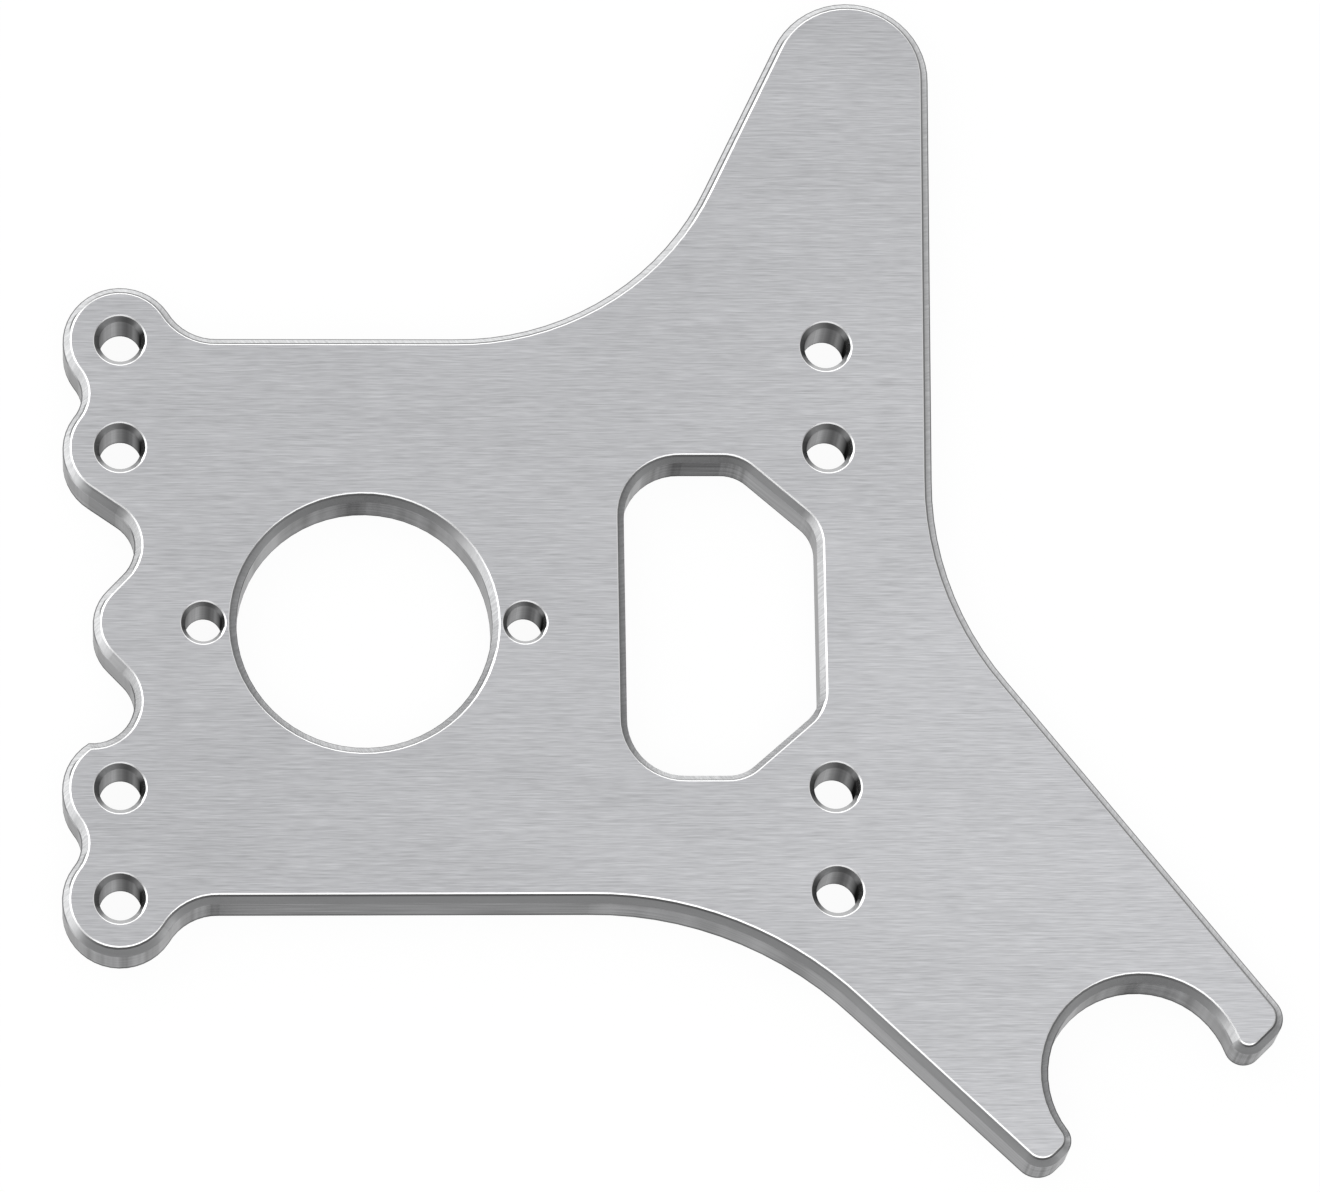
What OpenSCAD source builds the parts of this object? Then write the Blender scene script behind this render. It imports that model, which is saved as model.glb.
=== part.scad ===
// Coil mounting bracket: one flat aluminium plate, cut to shape, with every top edge chamfered.
// Millimetres. The origin is the main bore's centre on the underside, and +Z points up.

/* [Plate] */
// Thickness of the plate
plate_t = 9.5; // [6:0.5:16]
// Chamfer along the outline's top edge
edge_c = 1.5; // [0.5:0.1:2.4]
// Edge break around the underside of the holes and the window
under_c = 0.4; // [0.2:0.1:1]
// Distance between the two straight long edges
body_w = 98.8; // [96:0.2:104]
// Height of the plate's centre line above the main bore's centre
centre_y = 1; // [-3:0.5:3]

/* [Left bolt column] */
// Distance of the left bolts from the main bore's centre
left_x = 41; // [38:0.5:46]
// Spacing of the two outer left bolts
left_outer = 97.5; // [92:0.5:102]
// Spacing of the two inner left bolts
left_inner = 59.5; // [57:0.5:64]
// Radius of the rounded ear around each left bolt
ear_r = 9.7; // [8.5:0.1:10.5]
// Radius of the dip between an outer and an inner ear
dip_r = 6; // [4:0.5:8]
// Radius of the fillet from an outer ear to the long edge
shoulder_r = 9.4; // [7:0.2:12]

/* [Right bolt column] */
// Distance of the right bolts from the main bore's centre
right_x = 78.8; // [76:0.2:84]
// Spacing of the two outer right bolts
right_outer = 95.5; // [85:0.5:100]
// Spacing of the two inner right bolts
right_inner = 59.5; // [54:0.5:64]

/* [Bolt holes] */
// Diameter of the eight bolt holes
bolt_d = 7.1; // [5:0.1:8.5]
// Countersink around the bolt holes
bolt_c = 1; // [0.4:0.1:1.4]

/* [Scalloped edge] */
// Radius of the two deep scallops
scallop_r = 7; // [6:0.2:8]
// Distance of the scallops' centres from the main bore's centre
scallop_x = 45.6; // [44:0.2:48]
// Height of each scallop's centre above or below the bore row
scallop_y = 13.6; // [13:0.2:15]
// Radius of the middle ear between the scallops
nose_r = 8.6; // [7:0.2:9]
// Distance of the middle ear's centre from the main bore's centre
nose_x = 37; // [36:0.5:40]

/* [Main bore] */
// Diameter of the main bore
bore_d = 43; // [36:0.5:45]
// Chamfer around the main bore
bore_c = 1.4; // [0.4:0.1:1.8]
// Diameter of the screw hole on each side of the main bore
screw_d = 6.2; // [4:0.1:6.6]
// Countersink around the screw holes
screw_c = 0.8; // [0.3:0.1:1]
// Spacing of the two screw holes
screw_spacing = 54.1; // [53:0.1:58]

/* [Window] */
// Distance of the window's left wall from the main bore's centre
window_x = 44; // [42:0.5:46]
// Width of the window
window_w = 32.6; // [26:0.2:34]
// Height of the window
window_h = 54.9; // [46:0.5:58]
// Radius of the window's left corners
window_r = 9.7; // [6:0.1:11]
// Length of the straight run along the window's top and bottom
window_run = 7.2; // [2:0.2:9]
// Length of the straight run along the window's right wall
window_side = 25.7; // [20:0.1:30]
// Radius at both ends of the window's two slanted walls
window_bend_r = 6.7; // [4:0.1:8]
// Chamfer around the window
window_c = 1.3; // [0.4:0.1:1.8]

/* [Horn] */
// Distance of the horn's round end from the main bore's centre, to the right
horn_x = 83.7; // [78:0.1:88]
// Distance of the horn's round end from the main bore's centre, upward
horn_y = 97.2; // [85:0.1:105]
// Radius of the horn's round end
horn_r = 13.8; // [11:0.1:14.5]
// Radius of the sweep from the upper long edge into the horn
horn_sweep_r = 47; // [35:1:50]
// Distance of that sweep's centre from the main bore's centre, to the right
horn_sweep_x = 16.2; // [10:0.1:20]

/* [Waist] */
// Distance of the waist, where the right edge turns outward, from the main bore's centre
waist_x = 96.4; // [94:0.1:100]
// Height of the waist above the bore row
waist_y = 23.7; // [15:0.1:30]
// Radius of the sweep at the waist
waist_r = 54; // [40:1:60]

/* [Cradle arm] */
// Distance of the cradle's centre from the main bore's centre, to the right
cradle_x = 129.2; // [126:0.1:133]
// Distance of the cradle's centre from the main bore's centre, downward
cradle_y = 78.2; // [75:0.1:82]
// Diameter of the half-round cradle
cradle_d = 31.75; // [26:0.25:33]
// Chamfer around the cradle
cradle_c = 1.5; // [0.5:0.1:2]
// Direction in which the cradle opens, in degrees below the X axis
cradle_open = 62; // [58:1:66]
// Half of the angle that the cradle's mouth takes up
cradle_mouth = 82.5; // [76:0.5:86]
// Direction in which the arm points, in degrees below the X axis
arm_angle = 46; // [42:1:50]
// Radius of the two inner corners of the tines
tine_in_r = 3.2; // [2.8:0.1:3.6]
// Radius of the two outer corners of the tines
tine_out_r = 4.1; // [3.6:0.1:4.6]
// Distance between the two corner centres of the left tine
left_tine = 1.6; // [1:0.1:3]
// Distance between the two corner centres of the right tine
right_tine = 3.4; // [2:0.1:5]
// Radius of the sweep from the lower long edge into the arm
arm_sweep_r = 62; // [50:1:70]
// Distance of that sweep's centre from the main bore's centre, to the right
arm_sweep_x = 38.1; // [32:0.1:44]

/* [Hidden] */
$fn = 96;

// How far a cutting shape runs past the face that it cuts
through = 1;
// How far each round overlaps the straight or the round beside it, so that the two always meet
lap = 0.005;
// The shortest straight run that is cut as one
shortest = 0.02;

function unit(a) = [cos(a), sin(a)];
function turn(a) = a < 0 ? turn(a + 360) : a >= 360 ? turn(a - 360) : a;

// An outline is a belt around corners [x, y, r], counter-clockwise. A corner with a positive radius
// bulges outward and one with a negative radius is a hollow, and each straight run touches both.
function spot(rim, i) = let (c = rim[i % len(rim)]) [c[0], c[1]];
function bend(rim, i) = rim[i % len(rim)][2];
function span(rim, i) = spot(rim, i + 1) - spot(rim, i);

// Direction that the straight run from corner i to the next one faces
function facing(rim, i) =
    let (s = span(rim, i), k = (bend(rim, i) - bend(rim, i + 1)) / norm(s))
    atan2(s[1], s[0]) - acos(max(-1, min(1, k)));
function run_start(rim, i) = spot(rim, i) + bend(rim, i) * unit(facing(rim, i));
function run_end(rim, i) = spot(rim, i + 1) + bend(rim, i + 1) * unit(facing(rim, i));
function run_length(rim, i) = norm(run_end(rim, i) - run_start(rim, i));
// The belt's straight runs joined into one polygon, which passes through the centre of each bulge
function touch_points(rim) = [
    for (i = [0 : len(rim) - 1]) each concat(
        bend(rim, i) > 0 ? [spot(rim, i)] : [],
        run_length(rim, i) > shortest ? [run_start(rim, i), run_end(rim, i)] : [run_start(rim, i)])
];

// Centre of a hollow of radius r that touches two equal ears of one column, one above the other
function dip_spot(x, y_a, y_b, ear, r) =
    [x - sqrt(pow(ear + r, 2) - pow((y_a - y_b) / 2, 2)), (y_a + y_b) / 2];

half_w = body_w / 2;
cradle_r = cradle_d / 2;
cradle = [cradle_x, -cradle_y];

// The outer ears, the hollows beside them and the two fillets, above the centre line
ear_out = left_outer / 2;
ear_in = left_inner / 2;
dip = dip_spot(-left_x, ear_out, ear_in, ear_r, dip_r);
shoulder_y = half_w + shoulder_r;
shoulder_x = -left_x + sqrt(pow(ear_r + shoulder_r, 2) - pow(shoulder_y - ear_out, 2));

// The tines: each inner corner touches the cradle, and both corners of a tine end on one flat
arm_dir = unit(-arm_angle);
arm_side = unit(90 - arm_angle);
tine_reach = cradle_r + tine_in_r;
left_in = cradle + tine_reach * unit(-cradle_open - cradle_mouth);
right_in = cradle + tine_reach * unit(-cradle_open + cradle_mouth);
setback = (tine_in_r - tine_out_r) * arm_dir;
left_out = left_in + setback - left_tine * arm_side;
right_out = right_in + setback + right_tine * arm_side;

plate_rim = [
    [-left_x, centre_y + ear_out, ear_r],
    [dip[0], centre_y + dip[1], -dip_r],
    [-left_x, centre_y + ear_in, ear_r],
    [-scallop_x, scallop_y, -scallop_r],
    [-nose_x, 0, nose_r],
    [-scallop_x, -scallop_y, -scallop_r],
    [-left_x, centre_y - ear_in, ear_r],
    [dip[0], centre_y - dip[1], -dip_r],
    [-left_x, centre_y - ear_out, ear_r],
    [shoulder_x, centre_y - shoulder_y, -shoulder_r],
    [arm_sweep_x, centre_y - half_w - arm_sweep_r, -arm_sweep_r],
    [left_out[0], left_out[1], tine_out_r],
    [left_in[0], left_in[1], tine_in_r],
    [cradle[0], cradle[1], -cradle_r],
    [right_in[0], right_in[1], tine_in_r],
    [right_out[0], right_out[1], tine_out_r],
    [waist_x + waist_r, waist_y, -waist_r],
    [horn_x, horn_y, horn_r],
    [horn_sweep_x, centre_y + half_w + horn_sweep_r, -horn_sweep_r],
    [shoulder_x, centre_y + shoulder_y, -shoulder_r],
];

window_round_x = window_x + window_r;
window_round_y = window_h / 2 - window_r;
window_bend_x = window_round_x + window_run;
window_bend_y = window_h / 2 - window_bend_r;
window_wall_x = window_x + window_w - window_bend_r;
window_rim = [
    [window_round_x, centre_y + window_round_y, window_r],
    [window_round_x, centre_y - window_round_y, window_r],
    [window_bend_x, centre_y - window_bend_y, window_bend_r],
    [window_wall_x, centre_y - window_side / 2, window_bend_r],
    [window_wall_x, centre_y + window_side / 2, window_bend_r],
    [window_bend_x, centre_y + window_bend_y, window_bend_r],
];

// A round corner of the plate with its chamfer
module solid_round(r) {
    rotate_extrude() polygon([[0, 0], [r, 0], [r, plate_t - edge_c], [r - edge_c, plate_t], [0, plate_t]]);
}

// A round cut through the plate that flares to a chamfer of width c above, and to an edge break below
module round_cut(r, c, low = under_c) {
    rotate_extrude()
        polygon(concat(
            [[0, -through]],
            low > 0 ? [[r + low + through, -through], [r, low]] : [[r, -through]],
            [[r, plate_t - c], [r + c + through, plate_t + through], [0, plate_t + through]]));
}

module round_hole(x, y, d, c) {
    translate([x, y, 0]) round_cut(d / 2, c);
}

// Places a bar along a straight run, past its ends where they meet a bulge if past is more than 0.
// The section's X axis faces outward and its Y axis points up.
module along_run(rim, i, section, past = 0) {
    before = bend(rim, i) > 0 ? past : 0;
    after = bend(rim, i + 1) > 0 ? past : 0;
    if (run_length(rim, i) > shortest)
        translate(run_start(rim, i)) rotate([0, 0, facing(rim, i) + 90]) translate([-before, 0, 0])
            rotate([90, 0, 90]) linear_extrude(run_length(rim, i) + before + after)
                polygon([for (p = section) [-p[0], p[1]]]);
}

// The plate's outline without holes: straight stretches, then round corners added and hollows cut
module plate_blank() {
    bar = [[through, plate_t - edge_c - through], [through, plate_t + through],
        [-edge_c - through, plate_t + through]];
    difference() {
        union() {
            difference() {
                linear_extrude(plate_t) polygon(touch_points(plate_rim));
                for (i = [0 : len(plate_rim) - 1]) along_run(plate_rim, i, bar, past = through);
            }
            for (c = plate_rim) if (c[2] > 0) translate([c[0], c[1], 0]) solid_round(c[2] + lap);
        }
        for (c = plate_rim) if (c[2] < 0)
            translate([c[0], c[1], 0])
                round_cut(lap - c[2], c[2] == -cradle_r ? cradle_c : edge_c, low = 0);
    }
}

module window_cut() {
    top_flare = [[-through, plate_t - window_c - through], [window_c + through, plate_t + through],
        [-through, plate_t + through]];
    low_flare = [[-through, under_c + through], [-through, -through], [under_c + through, -through]];
    translate([0, 0, -through]) linear_extrude(plate_t + 2 * through) polygon(touch_points(window_rim));
    for (i = [0 : len(window_rim) - 1]) {
        along_run(window_rim, i, top_flare);
        along_run(window_rim, i, low_flare);
    }
    for (c = window_rim) translate([c[0], c[1], 0]) round_cut(c[2] + lap, window_c);
}

module bolt_holes() {
    for (side = [-1, 1]) {
        for (spacing = [left_outer, left_inner])
            round_hole(-left_x, centre_y + side * spacing / 2, bolt_d, bolt_c);
        for (spacing = [right_outer, right_inner])
            round_hole(right_x, centre_y + side * spacing / 2, bolt_d, bolt_c);
    }
}

module bore_and_screws() {
    round_hole(0, 0, bore_d, bore_c);
    for (side = [-1, 1]) round_hole(side * screw_spacing / 2, 0, screw_d, screw_c);
}

module bracket_plate() {
    color([0.74, 0.75, 0.77]) difference() {
        plate_blank();
        window_cut();
        bolt_holes();
        bore_and_screws();
    }
}

bracket_plate();
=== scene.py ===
"""Coil mounting bracket: a machined aluminium plate with a brushed top, milled chamfers and walls."""
import math
from types import SimpleNamespace

import bpy
from mathutils import Matrix, Vector


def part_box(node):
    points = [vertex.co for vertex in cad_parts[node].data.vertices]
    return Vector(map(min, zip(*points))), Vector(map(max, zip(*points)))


NODE = "bracket_plate"
MM_PER_M = 1000

# The photograph's frame in pixels, where the main bore's centre shows in it, and its scale there
PHOTO_W, PHOTO_H = 1320, 1192
BORE_PX = (364.5, 622.3)
PX_PER_MM = 5.95

# The camera: its direction and roll in degrees, its distance and reach in metres, and its sensor
ELEVATION = 73.5
AZIMUTH = -12.0
ROLL = 11.5
DISTANCE = 1.57
CLIP_END = 20.0
SENSOR_MM = 36.0

# The studio: the level of the world, the spot that lamps and cards stand around, and the lamps' distance.
# Each lamp and card has its angles in degrees and its sizes in metres where it is added, at the end.
WORLD_LEVEL = 0.7
CENTRE = Vector((0.05, 0.01, 0))
LAMP_DISTANCE = 1.3

# The floor: its grey, the share of its white that glows, half its width, and its gap under the plate
FLOOR_GREY = 0.95
FLOOR_GLOW = 0.95
FLOOR_HALF = 3.0
FLOOR_GAP = 0.0001

# Directions: straight up, and the part of a direction that is level
UP = (0, 0, 1)
LEVEL_PART = (1, 1, 0)

# From here on most values are pairs: a ramp goes from its first level to its second while a value crosses
# its span. A name that ends in _UP, _BACK or _RIGHT is a span of how far a unit direction points up, back or
# right, and one that ends in _ASIDE counts left and right alike.

# How far up or down a flat face points, and how far up a chamfer does
FLAT_UP = (0.94, 0.97)
CHAMFER_UP = (0.5, 0.88)
CHAMFER_SOFT = 0.03

# How near the walls around a spot close it in, in metres, the samples that find it, and the openness where
# that starts and is full: for the small holes, and for all openings. A hole's chamfer is more open than its
# wall, by CHAMFER_OPEN.
HOLE_REACH = 0.012
HOLE_SAMPLES = 16
HOLE_OPENNESS = (0.74, 0.66)
CAVITY_REACH = 0.05
CAVITY_SAMPLES = 8
CAVITY_OPENNESS = (1, 0.88)
CHAMFER_OPEN = 0.25

# An opening's near side faces back, and its far side faces front
NEAR_BACK = (0.3, 0.9)
FAR_BACK = (0, -0.5)

# The bright line along the top of every chamfer: its depth on edges that face left and right, and how much
# deeper it is on oblique ones, which face left and a little back
LEFT_LINE = 0.00023
RIGHT_LINE = 0.00013
LINE_RIGHT = (-0.85, 0.85)
OBLIQUE_LINE = 0.00013
OBLIQUE_BACK = (0.28, 0.5)
OBLIQUE_SOFT = 0.1
OBLIQUE_RIGHT = (-0.6, -0.8)

# The height of the painted dark seam below that line, the depth where the painted dark rim at the chamfer's
# foot starts, and where the two are; how softly line, seam and rim end
SEAM = 0.0003
SEAM_RIGHT = (-0.78, -0.28)
RIM_DEPTH = 0.00132
RIM_BACK = (-0.64, -0.35)
SOFT = 0.00004

# Noises: features per metre along each axis, their roughness and middle, and the span that shows
SWAY_GRAIN = (50, 160, 45)
FINE_GRAIN = (230, 4600, 1)
LONG_GRAIN = (60, 2500, 1)
CLOUD_GRAIN = (14, 60, 1)
LINE_GRAIN = (60, 60, 1500)
MARK_GRAIN = (2200, 2200, 1)
NOISE_ROUGHNESS = 0.55
NOISE_MIDDLE = 0.5
NOISE_SPAN = (0.3, 0.7)

# The brushed top: how far its streaks sway, in metres, the share of fine ones, and that of streaks in the
# tone
SWAY = 0.0006
FINE_SHARE = 0.6
STREAK_SHARE = 0.85
TOP_DARK = (0.45, 0.453, 0.468)
TOP_LIGHT = (0.75, 0.755, 0.778)

# The walls, given darker colours than the top as painted shade: the share of lines, the grain of the bands,
# which change as a wall turns and are painted reflections, and how much painted light they get at the sides
# and in small holes
LINE_SHARE = 0.4
BAND_GRAIN = (5.5, 5.5, 0.2)
WALL_SPAN = (0.36, 0.64)
WALL_DARK = (0.08, 0.08, 0.082)
WALL_LIGHT = (0.42, 0.422, 0.43)
WALL_LIT = (0.75, 0.753, 0.76)
LIT_ASIDE = (0.1, 0.75)
LIT_LEVELS = (0, 0.3)
LIT_HOLE = 0.45

# The chamfers: the lean of their milling marks in radians, where marks take over from calm lines, and how
# much painted shade darkens them where they face right, less so with depth, and where they face front
MARK_LEAN = 0.6
MARK_BACK = (-0.7, -0.28)
CALM_LEVELS = (0.3, 0.66)
CHAMFER_DARK = (0.60, 0.604, 0.612)
CHAMFER_LIGHT = (0.88, 0.884, 0.892)
CHAMFER_SHADE = (0.25, 0.251, 0.255)
SHADE_RIGHT = (0.28, 0.85)
SHADE_DEPTH_LEVELS = (0.68, 0.25)
SHADE_BACK = (-0.28, -0.85)
SHADE_BACK_LEVELS = (0, 0.42)

# Colours of the rim, the seam and a hole's near rim, all painted shade, and of the line where it is bright
# and where it has painted shade
RIM_COLOUR = (0.22, 0.22, 0.225)
SEAM_COLOUR = (0.22, 0.22, 0.223)
NEAR_RIM_COLOUR = (0.34, 0.341, 0.344)
LINE_BRIGHT = (0.9, 0.9, 0.9)
LINE_SHADED = (0.42, 0.42, 0.425)

# The metal's gloss, the tint of glancing reflections on walls, darker as painted shade, and elsewhere, and
# the relief of its streaks
GLOSS_ROUGHNESS = 0.28
WALL_TINT = (0.65, 0.65, 0.65)
UNSHADED_TINT = (1, 1, 1)
RELIEF_STRENGTH = 0.35
RELIEF_HEIGHT = 0.00003

# Where walls get painted shade, a dark matt grey: at the foot, by height in metres, and in the openings. A
# small hole's wall has a painted highlight streak where it faces right by STREAK_AT, which is narrower with a
# larger
# STREAK_TURN, and painted shade where it faces left.
PAINTED_SHADE_GREY = 0.02
FOOT_HEIGHT = (0.0006, 0.0011)
FOOT_LEVELS = (0.45, 1)
STREAK_AT = 0.45
STREAK_TURN = 4.2
STREAK_LEVELS = (0.25, 0.85)
STREAK_RIGHT = (-0.95, -0.65)
OPENING_ASIDE = (0.1, 0.7)
OPENING_LEVELS = (0.45, 1)


def direction(azimuth, elevation):
    """The unit direction to the camera, a lamp or a card; azimuth 0 is the front, 90 the right."""
    az, el = math.radians(azimuth), math.radians(elevation)
    return Vector((math.sin(az) * math.cos(el), -math.cos(az) * math.cos(el), math.sin(el)))


def put_in_scene(name, data):
    placed = bpy.data.objects.new(name, data)
    bpy.context.scene.collection.objects.link(placed)
    return placed


def add_camera(target):
    """Looks at the plate from the photograph's direction, with the target at its pixel and no shift."""
    roll = math.radians(ROLL)
    back = direction(AZIMUTH, ELEVATION)
    level = direction(AZIMUTH + 90, 0)
    upward = back.cross(level)
    right = math.cos(roll) * level + math.sin(roll) * upward
    up = math.cos(roll) * upward - math.sin(roll) * level
    focal_px = PX_PER_MM * DISTANCE * MM_PER_M
    across = (BORE_PX[0] - PHOTO_W / 2) / focal_px
    above = (PHOTO_H / 2 - BORE_PX[1]) / focal_px
    place = target - DISTANCE * (across * right + above * up - back)
    data = bpy.data.cameras.new("camera")
    data.sensor_fit = "HORIZONTAL"
    data.sensor_width = SENSOR_MM
    data.lens = SENSOR_MM * focal_px / PHOTO_W
    data.clip_end = CLIP_END
    camera = put_in_scene("camera", data)
    turned = Matrix((right, up, back)).transposed().to_4x4()
    camera.matrix_world = Matrix.Translation(place) @ turned
    bpy.context.scene.camera = camera


def add_soft_light(name, azimuth, elevation, size, radiance):
    """A rectangular lamp that looks equally bright from the plate at any size."""
    data = bpy.data.lights.new(name, "AREA")
    data.shape = "RECTANGLE"
    data.size, data.size_y = size
    data.energy = radiance * math.pi * size[0] * size[1]
    light = put_in_scene(name, data)
    way = direction(azimuth, elevation)
    light.location = CENTRE + way * LAMP_DISTANCE
    light.rotation_euler = (-way).to_track_quat("-Z", "Y").to_euler()


def add_sheet(name, corners, material):
    mesh = bpy.data.meshes.new(name)
    mesh.from_pydata(corners, [], [(0, 1, 2, 3)])
    mesh.materials.append(material)
    sheet = put_in_scene(name, mesh)
    return sheet


class Shader:
    """The nodes of a material or of the world, with a short call for each kind of step that repeats."""

    def __init__(self, owner):
        owner.use_nodes = True
        self.tree = owner.node_tree
        self.tree.nodes.clear()

    def node(self, kind, **settings):
        made = self.tree.nodes.new("ShaderNode" + kind)
        for name, value in settings.items():
            setattr(made, name, value)
        return made

    def feed(self, socket, value):
        """Links the socket to another node's output, or gives it a number, vector or colour."""
        if isinstance(value, bpy.types.NodeSocket):
            self.tree.links.new(value, socket)
        else:
            socket.default_value = value

    def math(self, operation, *values, clamp=False):
        made = self.node("Math", operation=operation, use_clamp=clamp)
        for socket, value in zip(made.inputs, values):
            self.feed(socket, value)
        return made.outputs[0]

    def chain(self, operation, values):
        """The values joined by the same operation, one after another."""
        result = values[0]
        for value in values[1:]:
            result = self.math(operation, result, value)
        return result

    def product(self, *values):
        return self.chain("MULTIPLY", values)

    def largest(self, *values):
        return self.chain("MAXIMUM", values)

    def less(self, value, taken):
        return self.math("SUBTRACT", value, taken)

    def magnitude(self, value):
        return self.math("ABSOLUTE", value)

    def blend(self, share, first, second):
        """The first value where the share is 1, and the second where it is 0."""
        rest = 1 - share if isinstance(share, float) else self.less(1, share)
        return self.math("ADD", self.product(first, share), self.product(second, rest))

    def ramp(self, value, span, levels=(0, 1)):
        """Goes evenly from the first level to the second while the value crosses the span."""
        made = self.node("MapRange")
        self.feed(made.inputs["Value"], value)
        for name, end in zip(("From Min", "From Max", "To Min", "To Max"), (*span, *levels)):
            made.inputs[name].default_value = end
        return made.outputs[0]

    def band(self, value, span, soft):
        """1 while the value is within the span, falling to 0 within soft on both sides."""
        low, high = span
        entering = self.ramp(value, (low - soft, low))
        leaving = self.ramp(value, (high + soft, high))
        return self.math("MINIMUM", entering, leaving)

    def vector(self, operation, *vectors, scale=None):
        made = self.node("VectorMath", operation=operation)
        for socket, value in zip(made.inputs, vectors):
            self.feed(socket, value)
        if scale is not None:
            self.feed(made.inputs["Scale"], scale)
        return made.outputs[0]

    def split(self, vector):
        parts = self.node("SeparateXYZ")
        self.feed(parts.inputs[0], vector)
        return parts.outputs

    def mix_colour(self, share, under, over):
        """The colour under where the share is 0, and the one over where it is 1."""
        made = self.node("Mix", data_type="RGBA")
        self.feed(made.inputs["Factor"], share)
        colours = [socket for socket in made.inputs if socket.type == "RGBA"]
        for socket, value in zip(colours, (under, over)):
            self.feed(socket, (*value, 1) if isinstance(value, tuple) else value)
        return next(socket for socket in made.outputs if socket.type == "RGBA")

    def mix_shader(self, share, under, over):
        made = self.node("MixShader")
        for socket, value in zip(made.inputs, (share, under, over)):
            self.feed(socket, value)
        return made.outputs[0]

    def plain(self, kind, grey):
        """A diffuse or glowing shader in an even grey."""
        made = self.node(kind)
        made.inputs["Color"].default_value = (grey, grey, grey, 1)
        return made.outputs[0]

    def noise(self, vector, grain, detail):
        mapping = self.node("Mapping")
        mapping.inputs["Scale"].default_value = grain
        self.feed(mapping.inputs["Vector"], vector)
        made = self.node("TexNoise")
        made.inputs["Scale"].default_value = 1
        made.inputs["Detail"].default_value = detail
        made.inputs["Roughness"].default_value = NOISE_ROUGHNESS
        self.feed(made.inputs["Vector"], mapping.outputs[0])
        return made.outputs["Fac"]

    def openness(self, reach, samples):
        """1 on the open outside, less where the plate closes in within the reach."""
        around = self.node("AmbientOcclusion", only_local=True, samples=samples)
        around.inputs["Distance"].default_value = reach
        return around.outputs["AO"]

    def show(self, surface, kind="Material"):
        self.feed(self.node("Output" + kind).inputs["Surface"], surface)


def add_world():
    world = bpy.data.worlds.new("world")
    bpy.context.scene.world = world
    shader = Shader(world)
    sky = shader.node("Background")
    sky.inputs["Color"].default_value = (1, 1, 1, 1)
    sky.inputs["Strength"].default_value = WORLD_LEVEL
    shader.show(sky.outputs[0], "World")


def add_floor():
    """A pale floor that shows white and keeps a faint shadow of the plate."""
    material = bpy.data.materials.new("floor_white")
    shader = Shader(material)
    path = shader.node("LightPath").outputs
    seen = shader.math("ADD", path["Is Camera Ray"], path["Is Glossy Ray"])
    seen = shader.math("ADD", seen, path["Is Transmission Ray"], clamp=True)
    share = shader.product(seen, FLOOR_GLOW)
    matt, glow = shader.plain("BsdfDiffuse", FLOOR_GREY), shader.plain("Emission", 1)
    shader.show(shader.mix_shader(share, matt, glow))
    half = FLOOR_HALF
    corners = [(x, y, -FLOOR_GAP) for x, y in ((-half, -half), (half, -half), (half, half), (-half, half))]
    add_sheet("floor", corners, material)


def add_card(name, azimuth, elevations, half_width, distance, grey):
    """An upright grey card between two elevations, which the camera doesn't see and the metal shows."""
    material = bpy.data.materials.new(name)
    shader = Shader(material)
    shader.show(shader.plain("Emission", grey))
    away = direction(azimuth, 0) * distance + CENTRE
    side = direction(azimuth + 90, 0) * half_width
    bottom, top = (Vector((0, 0, distance * math.tan(math.radians(el)))) for el in elevations)
    corners = [away - side + bottom, away + side + bottom, away + side + top, away - side + top]
    card = add_sheet(name, corners, material)
    card.visible_camera = False
    card.visible_shadow = False
    card.visible_diffuse = False


def read_spot(shader, top):
    """Where a spot lies, how deep below the top, which way it faces on the level, and its kind of surface."""
    spot = SimpleNamespace()
    spot.place = shader.node("TexCoord").outputs["Object"]
    spot.along = shader.split(spot.place)
    spot.depth = shader.less(top, spot.along["Z"])
    spot.normal = shader.node("NewGeometry").outputs["Normal"]
    spot.outward = shader.vector("NORMALIZE", shader.vector("MULTIPLY", spot.normal, LEVEL_PART))
    spot.facing = shader.split(spot.outward)
    up = shader.split(spot.normal)["Z"]
    spot.on_flat = shader.ramp(shader.magnitude(up), FLAT_UP)
    spot.on_chamfer = shader.band(up, CHAMFER_UP, CHAMFER_SOFT)
    return spot


def find_openings(shader, spot):
    """Where the plate closes in, which sets the painted shade: in small holes, in every opening, and on an
    opening's near and far side.
    """
    hole = shader.openness(HOLE_REACH, HOLE_SAMPLES)
    hole = shader.less(hole, shader.product(spot.on_chamfer, CHAMFER_OPEN))
    cavity = shader.openness(CAVITY_REACH, CAVITY_SAMPLES)
    spot.in_hole = shader.ramp(hole, HOLE_OPENNESS)
    spot.in_cavity = shader.largest(spot.in_hole, shader.ramp(cavity, CAVITY_OPENNESS))
    spot.near_side = shader.product(spot.in_cavity, shader.ramp(spot.facing["Y"], NEAR_BACK))
    spot.far_side = shader.product(spot.in_cavity, shader.ramp(spot.facing["Y"], FAR_BACK))


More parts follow.
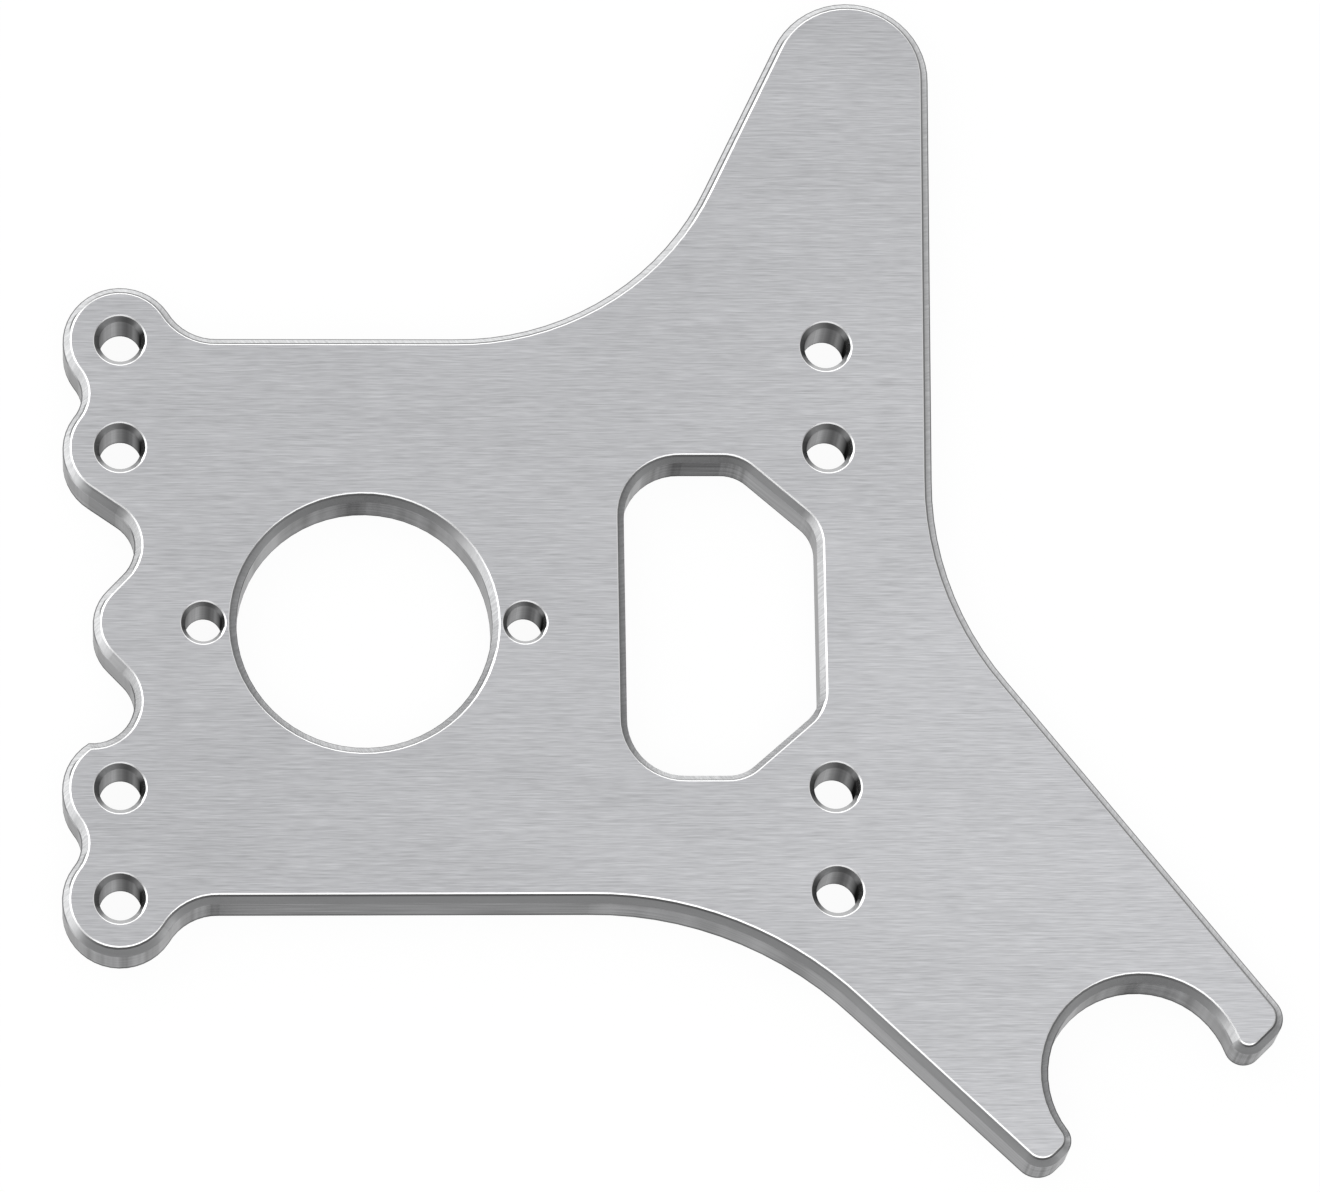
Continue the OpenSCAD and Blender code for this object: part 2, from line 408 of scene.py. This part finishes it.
def find_edges(shader, spot):
    """The bright line, the painted dark seam and painted dark rim of the chamfers, and the painted-shade near
    rim of the holes.
    """
    oblique = shader.product(shader.band(spot.facing["Y"], OBLIQUE_BACK, OBLIQUE_SOFT),
                             shader.ramp(spot.facing["X"], OBLIQUE_RIGHT))
    reach = shader.math("ADD", shader.ramp(spot.facing["X"], LINE_RIGHT, (LEFT_LINE, RIGHT_LINE)),
                        shader.product(oblique, OBLIQUE_LINE))
    below_line = shader.less(spot.depth, reach)
    spot.on_line = shader.product(spot.on_chamfer, shader.ramp(below_line, (SOFT, 0)))
    spot.in_seam = shader.product(spot.on_chamfer, shader.band(below_line, (0, SEAM), SOFT),
                                  shader.largest(oblique, shader.ramp(spot.facing["X"], SEAM_RIGHT)),
                                  shader.less(1, spot.in_cavity))
    spot.at_rim = shader.product(spot.on_chamfer, shader.ramp(spot.depth, (RIM_DEPTH - SOFT, RIM_DEPTH)),
                                 shader.ramp(spot.facing["Y"], RIM_BACK))
    spot.near_rim = shader.product(spot.on_chamfer, spot.near_side, spot.in_hole)


def brush_top(shader, spot):
    """Streaks of the brushed face, along X and slightly wavy: how high they are, and the face's colour."""
    sway = shader.less(shader.noise(spot.place, SWAY_GRAIN, detail=2), NOISE_MIDDLE)
    swayed = shader.node("CombineXYZ")
    shader.feed(swayed.inputs["X"], spot.along["X"])
    shader.feed(swayed.inputs["Y"], shader.math("ADD", spot.along["Y"], shader.product(sway, SWAY)))
    fine, long = (shader.noise(swayed.outputs[0], grain, detail=2) for grain in (FINE_GRAIN, LONG_GRAIN))
    streak = shader.blend(FINE_SHARE, fine, long)
    tone = shader.blend(STREAK_SHARE, streak, shader.noise(spot.place, CLOUD_GRAIN, detail=2))
    return streak, shader.mix_colour(shader.ramp(tone, NOISE_SPAN), TOP_DARK, TOP_LIGHT)


def mill_walls(shader, spot, lines):
    """Fine lines around the edge, and painted reflection bands where it turns, in colours darkened as painted
    shade; painted light in the small holes and at the sides.
    """
    # The lines are milling marks; the bands, which follow the way a wall faces, are painted reflections
    shade = shader.blend(LINE_SHARE, lines, shader.noise(spot.normal, BAND_GRAIN, detail=2))
    colour = shader.mix_colour(shader.ramp(shade, WALL_SPAN), WALL_DARK, WALL_LIGHT)
    # Painted light: walls that face left or right, and the walls of small holes, turn towards WALL_LIT
    side = shader.ramp(shader.magnitude(spot.facing["X"]), LIT_ASIDE, LIT_LEVELS)
    return shader.mix_colour(shader.largest(side, shader.product(spot.in_hole, LIT_HOLE)), colour, WALL_LIT)


def mill_chamfers(shader, spot, lines, to_front):
    """Milling marks that run obliquely down from the top edge, or calm lines at the front; with painted shade
    where they face right or front."""
    lean = shader.node("VectorRotate", rotation_type="Z_AXIS")
    lean.inputs["Angle"].default_value = MARK_LEAN
    shader.feed(lean.inputs["Vector"], spot.outward)
    slide = shader.vector("SCALE", lean.outputs[0], scale=spot.depth)
    marks = shader.noise(shader.vector("SUBTRACT", spot.place, slide), MARK_GRAIN, detail=3)
    calm = shader.ramp(lines, (0, 1), CALM_LEVELS)
    marks = shader.blend(shader.ramp(spot.facing["Y"], MARK_BACK), marks, calm)
    colour = shader.mix_colour(shader.ramp(marks, NOISE_SPAN), CHAMFER_DARK, CHAMFER_LIGHT)
    # Painted shade: chamfers that face right, less so with depth, or that face front turn towards
    # CHAMFER_SHADE
    to_right = shader.product(shader.ramp(spot.facing["X"], SHADE_RIGHT),
                              shader.ramp(spot.depth, (RIGHT_LINE, RIM_DEPTH), SHADE_DEPTH_LEVELS))
    return shader.mix_colour(shader.largest(to_right, to_front), colour, CHAMFER_SHADE)


def colour_plate(shader, spot, top_colour):
    """Lays the colours of chamfers, edges and top over the walls' colour, each where it belongs."""
    lines = shader.noise(spot.place, LINE_GRAIN, detail=3)
    to_front = shader.ramp(spot.facing["Y"], SHADE_BACK, SHADE_BACK_LEVELS)
    # Painted shade: the line turns darker on an opening's far side and where it faces front
    line_colour = shader.mix_colour(shader.largest(spot.far_side, to_front), LINE_BRIGHT, LINE_SHADED)
    colour = mill_walls(shader, spot, lines)
    layers = (
        (spot.on_chamfer, mill_chamfers(shader, spot, lines, to_front)),
        # The rim, the seam and the near rim are painted shade
        (spot.at_rim, RIM_COLOUR),
        (spot.in_seam, SEAM_COLOUR),
        (spot.near_rim, NEAR_RIM_COLOUR),
        (spot.on_line, line_colour),
        (spot.on_flat, top_colour),
    )
    for share, over in layers:
        colour = shader.mix_colour(share, colour, over)
    return colour


def shape_surface(shader, spot, streak):
    """Tips the line and the holes' near rims up, as narrow facets do, and gives the top its streaks."""
    tip = shader.vector("SCALE", UP, scale=shader.largest(spot.on_line, spot.near_rim))
    bump = shader.node("Bump")
    bump.inputs["Strength"].default_value = RELIEF_STRENGTH
    bump.inputs["Distance"].default_value = RELIEF_HEIGHT
    shader.feed(bump.inputs["Height"], shader.product(streak, spot.on_flat))
    shader.feed(bump.inputs["Normal"], shader.vector("NORMALIZE", shader.vector("ADD", spot.normal, tip)))
    return bump.outputs[0]


def find_unshaded(shader, spot):
    """How much metal shows rather than the dark matt grey of painted shade: wholly on the line and the top,
    less at a wall's foot and in the openings.
    """
    # Painted shade at each wall's foot and in the openings; a painted highlight streak on small holes' walls
    # that face right
    foot = shader.ramp(spot.along["Z"], FOOT_HEIGHT, FOOT_LEVELS)
    turn = shader.product(shader.less(spot.facing["X"], STREAK_AT), STREAK_TURN)
    streak = shader.product(shader.ramp(shader.math("COSINE", turn), (-1, 1), STREAK_LEVELS),
                            shader.ramp(spot.facing["X"], STREAK_RIGHT))
    wide = shader.ramp(shader.magnitude(spot.facing["X"]), OPENING_ASIDE, OPENING_LEVELS)
    lit = shader.largest(shader.blend(spot.in_hole, streak, wide), spot.near_side)
    closed = shader.product(spot.in_cavity, shader.less(1, lit))
    return shader.largest(shader.product(foot, shader.less(1, closed)), spot.on_line, spot.on_flat)


def add_metal(part, top):
    """Gives the plate its one material, brushed and milled aluminium, with painted shade where little light
    gets in.
    """
    material = bpy.data.materials.new("brushed_aluminium")
    shader = Shader(material)
    spot = read_spot(shader, top)
    find_openings(shader, spot)
    find_edges(shader, spot)
    streak, top_colour = brush_top(shader, spot)
    metal = shader.node("BsdfPrincipled")
    metal.inputs["Metallic"].default_value = 1
    metal.inputs["Roughness"].default_value = GLOSS_ROUGHNESS
    shader.feed(metal.inputs["Base Color"], colour_plate(shader, spot, top_colour))
    shader.feed(metal.inputs["Normal"], shape_surface(shader, spot, streak))

    # A wall is seen at a glancing angle, where the metal would turn white; a darker tint there is painted
    # shade
    open_to_sky = shader.largest(spot.on_flat, spot.on_chamfer)
    shader.feed(metal.inputs["Specular Tint"], shader.mix_colour(open_to_sky, WALL_TINT, UNSHADED_TINT))

    # Painted shade: a dark matt grey that stands in for shade at walls' feet and in the openings
    painted_shade = shader.plain("BsdfDiffuse", PAINTED_SHADE_GREY)
    shader.show(shader.mix_shader(find_unshaded(shader, spot), painted_shade, metal.outputs[0]))
    for slot in part.material_slots:
        slot.material = material


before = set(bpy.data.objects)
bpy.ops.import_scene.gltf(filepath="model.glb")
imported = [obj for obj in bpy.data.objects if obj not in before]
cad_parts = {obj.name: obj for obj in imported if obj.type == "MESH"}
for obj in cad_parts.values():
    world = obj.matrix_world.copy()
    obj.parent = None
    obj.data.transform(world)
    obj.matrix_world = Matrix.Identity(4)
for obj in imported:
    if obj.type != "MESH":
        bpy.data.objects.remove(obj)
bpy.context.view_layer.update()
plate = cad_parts[NODE]
plate_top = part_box(NODE)[1].z

add_camera(Vector((0, 0, plate_top)))
add_floor()
add_world()
add_soft_light("light_front", azimuth=5, elevation=60, size=(1.4, 0.9), radiance=1.4)
add_soft_light("light_left", azimuth=-116, elevation=45, size=(1.2, 0.9), radiance=1.4)
add_soft_light("light_back", azimuth=175, elevation=29, size=(1.2, 0.6), radiance=1.0)
add_soft_light("light_top", azimuth=113, elevation=67, size=(0.7, 0.7), radiance=0.28)
add_card("card_front", azimuth=0, elevations=(1, 34), half_width=1.6, distance=1.1, grey=0.32)
add_card("card_left", azimuth=-95, elevations=(1, 22), half_width=0.7, distance=1.1, grey=1.15)
add_card("card_right", azimuth=85, elevations=(0, 26), half_width=0.14, distance=0.17, grey=0.35)
add_metal(plate, plate_top)

bpy.context.scene.view_settings.view_transform = "Standard"
